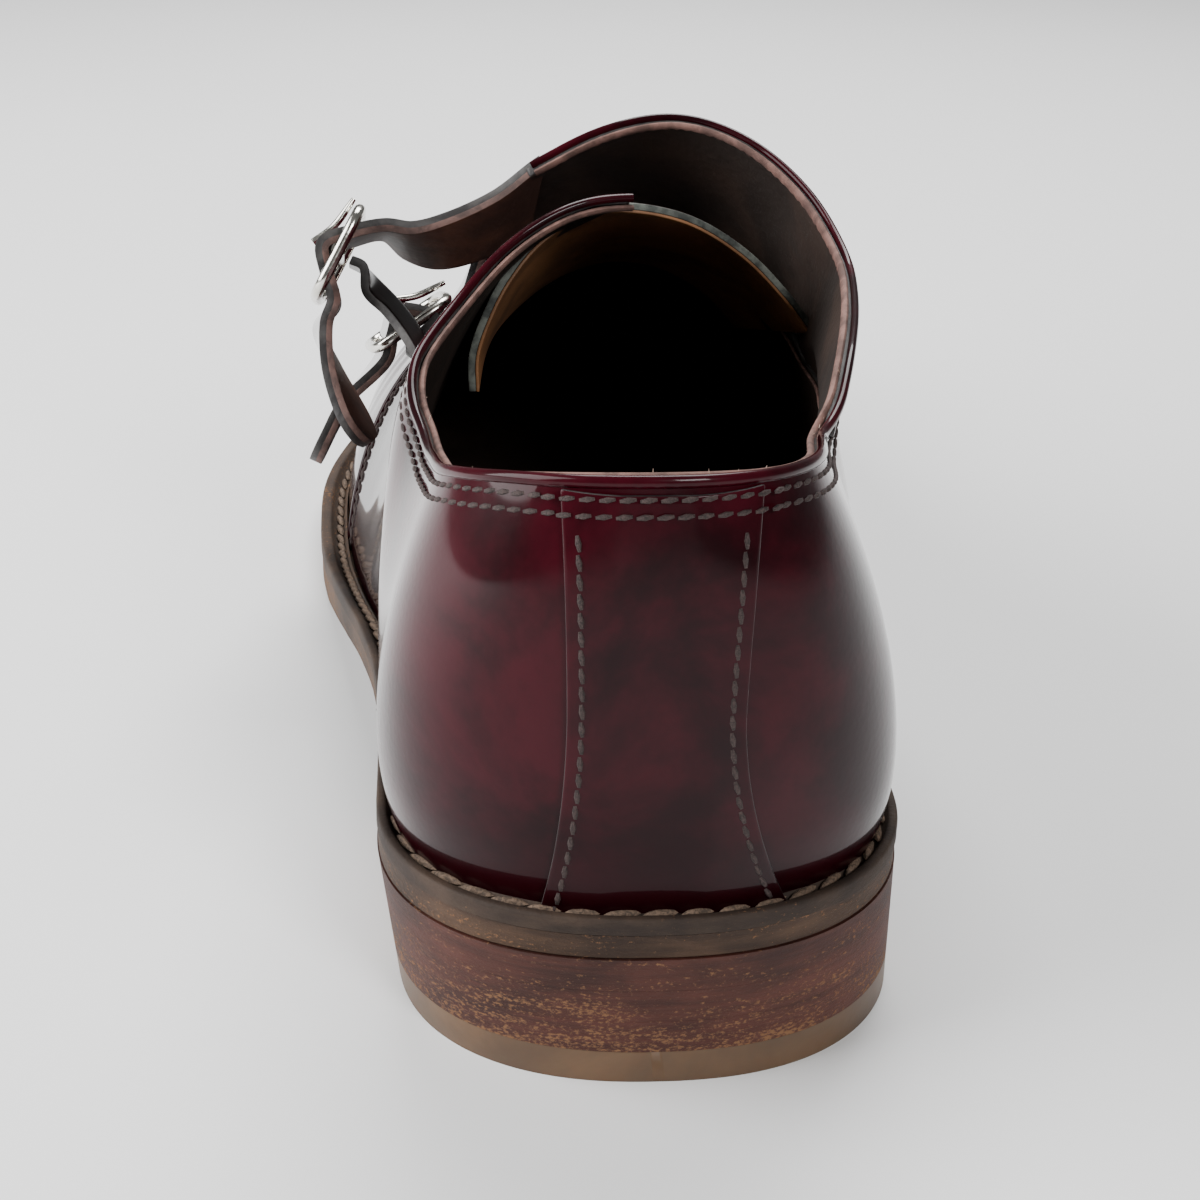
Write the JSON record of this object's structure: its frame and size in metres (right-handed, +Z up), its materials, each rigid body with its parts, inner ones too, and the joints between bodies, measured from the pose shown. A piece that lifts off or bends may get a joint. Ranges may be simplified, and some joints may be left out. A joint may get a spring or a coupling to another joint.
{
  "type": "monk strap shoe",
  "caption": "Low leather dress shoe for the left foot with a plain toe, a flap over the instep closed by buckled straps on the outer side, a welted sole and a stacked heel.",
  "frame": {"origin": "middle of the shoe's bounding box at floor level", "axes": "+Z up, toe towards -Y, +X to the outer side of the left foot"},
  "size_m": [0.1084, 0.298, 0.1077],
  "materials": {
    "upper_leather": "polished dark burgundy leather",
    "tongue_leather": "dark leather with a tan lining",
    "lining_leather": "tan lining leather, worn",
    "welt_leather": "brown welt with heavy stitching",
    "sole_leather": "brown sole edge, dusty",
    "heel_leather": "red-brown stacked leather, scuffed",
    "gum_rubber": "caramel gum rubber",
    "buckle_metal": "polished nickel"
  },
  "bodies": {
    "root": {"toplift": "gum_rubber", "heel_lift_1": "heel_leather", "heel_lift_2": "heel_leather", "heel_lift_3": "heel_leather", "outsole": "sole_leather", "welt": "welt_leather", "upper": "upper_leather", "insole": "lining_leather", "tongue": "tongue_leather", "upper_strap": "upper_leather", "upper_chape": "upper_leather", "upper_buckle": "buckle_metal", "upper_prong": "buckle_metal", "lower_strap": "upper_leather", "lower_chape": "upper_leather", "lower_buckle": "buckle_metal", "lower_prong": "buckle_metal"}
  },
  "joints": []
}
